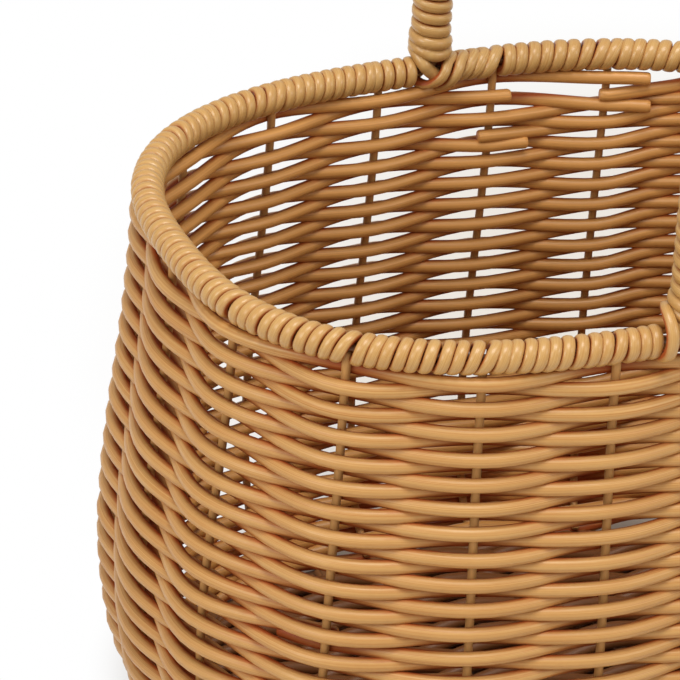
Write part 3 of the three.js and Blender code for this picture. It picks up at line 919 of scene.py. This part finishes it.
class BASKET_OT_rim_winding(bpy.types.Operator):
    """Wind the strand round the rim, parted by each stake from below and by the handle's feet from above"""

    bl_idname = "basket.rim_winding"
    bl_label = "Rim winding"

    # Turns beside a foot of the handle, in millimetres along the rim from it: place under the rim, place on
    # top and, of loose ones, how far they hang below and stand above.
    BACK_FOOT = (
        (-18.1, -21.8), (-13.8, -17.8), (-9.0, -13.6), (-3.0, -9.2, 2.6),
        (4.6, 8.0, 0.2), (9.1, 12.4), (13.7, 16.9), (18.4, 21.2),
    )
    FRONT_FOOT = (
        (-22.2, -20.2), (-18.2, -16.2), (-14.3, -12.3), (-10.8, -8.9, 0.0, 7.0),
        (7.0, 8.8), (11.6, 13.4), (15.6, 17.8),
    )
    # Their width, as a share of the wound strand's.
    FOOT_WIDTH = 0.89
    # Other turns, in shares of the room that each has.
    WIDTH = 0.95
    NEAR_NARROWER = 0.02
    NEAR_LEAN = 0.22
    STRAY = 0.07
    SEED = 11
    # How far a stake parts the turns below and lets them slip on top, and how far along that reaches.
    PARTING = 0.0016
    PARTING_REACH = 0.005
    SLIP = 0.003
    SLIP_REACH = 0.009
    # A half turn as long as this lies free of the rim, and is narrower.
    FREE_LENGTH = 0.0135
    FREE_POWER = 4
    FREE_LIFT = 0.0032
    FREE_NARROWER = 0.07
    SLACK = 0.0002
    SWELL = 0.02
    POINTS = 4
    CORE_STEPS = 2000

    def crossings(self, basket):
        """Each turn's places along the rim at its bottom and top, how far it is off there, and its width."""
        luck = random.Random(self.SEED)
        sizes = basket.sizes
        rim = basket.oval.length
        span = rim / basket.stakes
        feet = {
            basket.stakes // 4: (rim / 4, self.BACK_FOOT),
            3 * basket.stakes // 4: (3 * rim / 4, self.FRONT_FOOT),
        }
        marks = []

        def beside(k, distance):
            return 0.0 if k in feet or k - 1 in feet else math.exp(-distance / self.SLIP_REACH)

        for k in range(basket.stakes):
            stake = basket.stake_share(k) * rim
            if k in feet:
                foot, turns = feet[k]
                width = self.FOOT_WIDTH * sizes.wound_strand
                for turn in turns:
                    bottom, top, hang, stand = (part / MILLIMETRES for part in (*turn, 0.0, 0.0)[:4])
                    marks.append((foot + bottom, foot + top, hang, stand, width))
                continue
            turns = sizes.rim_turns + (1 if basket.on_rim(stake / rim)[0].x < 0 else 0)
            pitch = span / turns
            for turn in range(turns):
                middle = (turn + 0.5 + self.STRAY * luck.uniform(-1, 1)) * pitch
                after = math.exp(-middle / self.PARTING_REACH)
                ahead = math.exp((middle - span) / self.PARTING_REACH)
                toward = -basket.on_rim((stake + middle) / rim)[0].y / sizes.rim_half_width
                slip = self.SLIP * (beside(k, middle) + beside(k + 1, span - middle))
                lead = 0.5 * pitch + toward * (self.NEAR_LEAN * pitch + slip)
                bottom = stake + middle + self.PARTING * (after - ahead)
                width = (self.WIDTH - self.NEAR_NARROWER * toward) * pitch
                marks.append((bottom, stake + middle + lead, 0.0, 0.0, width))
        return marks

    def execute(self, context):
        basket, sizes = basket_of(context)
        rim = basket.oval.length
        radius = basket.rim_radius - sizes.wound_thick / 2 + self.SLACK
        marks = self.crossings(basket)
        places = []
        girths = []

        def half_turn(start, end, angle, off, off_after, width):
            free = min(1.0, abs(end - start) / self.FREE_LENGTH) ** self.FREE_POWER
            for i in range(self.POINTS):
                part = i / self.POINTS
                centre, outward = basket.on_rim((start + (end - start) * part) / rim)
                turned = angle + math.pi * part
                side = outward * math.cos(turned) + Vector((0, 0, math.sin(turned)))
                swell = self.SWELL * radius * waver(start * 400, part, 8.0)
                lift = off + (off_after - off) * part + free * self.FREE_LIFT * math.sin(math.pi * part) ** 2
                places.append(centre + side * (radius + swell + lift))
                girths.append(width / sizes.wound_strand * (1 - self.FREE_NARROWER * free))

        for i, (bottom, top, hang, stand, width) in enumerate(marks):
            following = marks[(i + 1) % len(marks)]
            half_turn(bottom, top, -math.pi / 2, hang, stand, width)
            end = following[0] + (rim if i + 1 == len(marks) else 0.0)
            half_turn(top, end, math.pi / 2, stand, following[2], width)
        core = [basket.on_rim(i / self.CORE_STEPS)[0] for i in range(self.CORE_STEPS)]
        thinner = sizes.wound_thick / sizes.wound_strand
        lay(
            "rim_wrap", "winding", "wrap", places, sizes.wound_strand,
            closed=True, steps=3, sides=16, girths=girths, core=core, thinner=thinner,
        )
        return {"FINISHED"}


class BASKET_OT_handle_winding(bpy.types.Operator):
    """Wind the strand round the handle's rod from foot to foot"""

    bl_idname = "basket.handle_winding"
    bl_label = "Handle winding"

    POINTS = 8
    CORE_STEPS = 1200
    WIDTH = 0.93
    SLIP = 0.0003
    SWELL = 0.015
    # At its ends the strand is tucked in to this share of its radius, and comes out by this much in a turn.
    TUCK = 0.6
    TUCK_RATE = 2.5

    def execute(self, context):
        basket, sizes = basket_of(context)
        hoop = basket.hoop()
        start = basket.lash_end
        span = hoop.length - 2 * start
        turns = math.floor(span / (sizes.strand + sizes.handle_wrap_gap)) + 0.5
        radius = sizes.handle_rod / 2 + sizes.seat + sizes.strand - sizes.wound_thick / 2
        side = Vector((1, 0, 0))
        places = []
        for i in range(round(turns * self.POINTS) + 1):
            turn = i / self.POINTS
            slip = self.SLIP * waver(turn * 0.8, 6.0, 1.0)
            centre, heading = hoop.at(start + span * turn / turns + slip)
            angle = 2 * math.pi * turn - math.pi / 2
            up = side.cross(heading)
            tuck = min(1.0, self.TUCK + self.TUCK_RATE * min(turn, turns - turn))
            swell = tuck * (1 + self.SWELL * waver(turn * 1.7, 4.0, 2.0))
            places.append(centre + (side * math.cos(angle) + up * math.sin(angle)) * radius * swell)
        core = [hoop.at(hoop.length * i / self.CORE_STEPS)[0] for i in range(self.CORE_STEPS + 1)]
        width = self.WIDTH * span / turns
        lay(
            "handle_wrap", "winding", "wrap", places, width,
            steps=3, sides=16, core=core, thinner=sizes.wound_thick / width,
        )
        return {"FINISHED"}


class BASKET_OT_lashings(bpy.types.Operator):
    """Lash each foot of the handle to the rim with two crossing strands"""

    bl_idname = "basket.lashings"
    bl_label = "Lashings"

    # Rises of a strand round the leg, in millimetres, a quarter turn apart.
    SHORT = (0.0, -0.1, 2.3, 3.9)
    LONG = (0.0, 1.1, 3.5, 4.4, 5.7, 6.8)
    # It starts beside the leg, inside the rim's winding, and sweeps over the rim by these degrees.
    START_ASIDE = 0.0075
    START_RADIUS = 0.0037
    START_ANGLE = 165
    SWEEP = 135
    SWEEP_STEPS = 10
    QUARTER_STEPS = 4
    # Its end is tucked in by this share of its radius.
    TUCK = 0.25

    def places(self, basket, rises):
        """One strand from under the rim, over it and round the leg."""
        over_rim, round_leg = basket.lash_over_rim, basket.lash_round_leg
        places = []
        for i in range(self.SWEEP_STEPS):
            share = i / self.SWEEP_STEPS
            angle = math.radians(self.START_ANGLE - self.SWEEP * share)
            over = max(0.0, 2 * share - 1)
            radius = self.START_RADIUS + (over_rim - self.START_RADIUS) * over * over
            sideways = -self.START_ASIDE + (round_leg + self.START_ASIDE) * share
            places.append(Vector((sideways, radius * math.sin(angle), radius * math.cos(angle))))
        quarters = len(rises) - 1
        for i in range(self.QUARTER_STEPS * quarters + 1):
            turned = i / self.QUARTER_STEPS
            first = min(int(turned), quarters - 1)
            rise = rises[first] + (rises[first + 1] - rises[first]) * (turned - first)
            angle = -turned * math.pi / 2
            radius = round_leg * (1 - self.TUCK * max(0.0, 2 * (turned - quarters) + 1))
            height = over_rim + rise / MILLIMETRES
            places.append(Vector((radius * math.cos(angle), radius * math.sin(angle), height)))
        return places

    def execute(self, context):
        basket, sizes = basket_of(context)
        for foot, side in (("front", -1), ("back", 1)):
            corner = Vector((0, side * sizes.rim_half_width, sizes.rim_height))
            for face, half in (("outer", side < 0), ("inner", side > 0)):
                turned = Matrix.Rotation(math.pi * half, 4, "Z")
                places = self.places(basket, self.LONG if half else self.SHORT)
                places = [corner + turned @ place for place in places]
                lay(f"lash_{foot}_{face}", "winding", "strand", places, sizes.weaver, steps=4)
        return {"FINISHED"}


class BASKET_OT_studio(bpy.types.Operator):
    """Lay the pale floor, hang the soft lights and set the camera"""

    bl_idname = "basket.studio"
    bl_label = "Studio"

    AIM = (0.0, 0.0, 0.15)
    # Each lamp's place and size.
    LAMPS = {
        "top": ((-0.15, -0.5, 2.15), 1.1),
        "key": ((-2.1, -0.7, 1.35), 1.2),
        "fill": ((1.3, -1.5, 1.3), 0.8),
    }
    FLOOR_SIZE = 6.0
    FLOOR_PARTS = 8
    SKY = (1.0, 0.985, 0.96, 1.0)
    SENSOR = 36.0
    FAR = 50.0

    def lamp(self, name, power):
        place, size = self.LAMPS[name]
        light = bpy.data.lights.new(name, "AREA")
        light.shape = "DISK"
        light.size = size
        light.energy = power
        lamp = placed(name, light)
        lamp.location = place
        lamp.rotation_euler = (Vector(self.AIM) - Vector(place)).to_track_quat("-Z", "Y").to_euler()

    def execute(self, context):
        studio = context.scene.basket_studio
        shape = bmesh.new()
        parts = self.FLOOR_PARTS
        bmesh.ops.create_grid(shape, x_segments=parts, y_segments=parts, size=self.FLOOR_SIZE)
        mesh = bpy.data.meshes.new("floor")
        shape.to_mesh(mesh)
        shape.free()
        mesh.materials.append(floor_finish("Pale floor", studio.floor))
        floor = placed("floor", mesh)
        for name in self.LAMPS:
            self.lamp(name, getattr(studio, name))
        world = bpy.data.worlds.new("studio")
        context.scene.world = world
        world.use_nodes = True
        backdrop = world.node_tree.nodes["Background"]
        backdrop.inputs["Color"].default_value = self.SKY
        backdrop.inputs["Strength"].default_value = studio.ambient
        camera = placed("camera", bpy.data.cameras.new("camera"))
        camera.data.sensor_width = self.SENSOR
        camera.data.lens = studio.camera_lens
        camera.data.clip_end = self.FAR
        yaw, pitch = studio.camera_yaw, studio.camera_pitch
        right = Vector((math.cos(yaw), math.sin(yaw), 0))
        back = Vector((math.sin(yaw) * math.cos(pitch), -math.cos(yaw) * math.cos(pitch), math.sin(pitch)))
        turned = Matrix((right, back.cross(right), back)).transposed().to_4x4()
        turned = turned @ Matrix.Rotation(studio.camera_roll, 4, "Z")
        camera.matrix_world = Matrix.Translation(studio.camera_place) @ turned
        context.scene.camera = camera
        context.scene.view_settings.view_transform = "Standard"
        return {"FINISHED"}


class BASKET_PT_panel(bpy.types.Panel):
    """The basket's pieces and sizes"""

    bl_idname = "BASKET_PT_panel"
    bl_label = "Carry basket"
    bl_space_type = "VIEW_3D"
    bl_region_type = "UI"
    bl_category = "Basket"

    def draw(self, context):
        for group in (getattr(context.scene, name) for name in GROUPS):
            column = self.layout.column(align=True)
            for name in group.bl_rna.properties.keys():
                if name not in ("rna_type", "name"):
                    column.prop(group, name)
        column = self.layout.column(align=True)
        for operator in OPERATORS:
            column.operator(operator.bl_idname)


OPERATORS = (
    BASKET_OT_studio,
    BASKET_OT_foot_ring,
    BASKET_OT_stakes,
    BASKET_OT_hidden_wires,
    BASKET_OT_woven_wall,
    BASKET_OT_woven_base,
    BASKET_OT_rim_winding,
    BASKET_OT_handle_winding,
    BASKET_OT_lashings,
)
GROUPS = {"basket_sizes": BasketSizes, "basket_finish": BasketFinish, "basket_studio": BasketStudio}


def register():
    for kind in (*GROUPS.values(), *OPERATORS, BASKET_PT_panel):
        bpy.utils.register_class(kind)
    for name, group in GROUPS.items():
        setattr(bpy.types.Scene, name, PointerProperty(type=group))


def unregister():
    for name in GROUPS:
        delattr(bpy.types.Scene, name)
    for kind in (BASKET_PT_panel, *reversed(OPERATORS), *GROUPS.values()):
        bpy.utils.unregister_class(kind)


def main():
    register()
    bpy.ops.basket.studio()
    bpy.ops.basket.foot_ring()
    bpy.ops.basket.stakes()
    bpy.ops.basket.hidden_wires()
    bpy.ops.basket.woven_wall()
    bpy.ops.basket.woven_base()
    bpy.ops.basket.rim_winding()
    bpy.ops.basket.handle_winding()
    bpy.ops.basket.lashings()


if __name__ == "__main__":
    main()
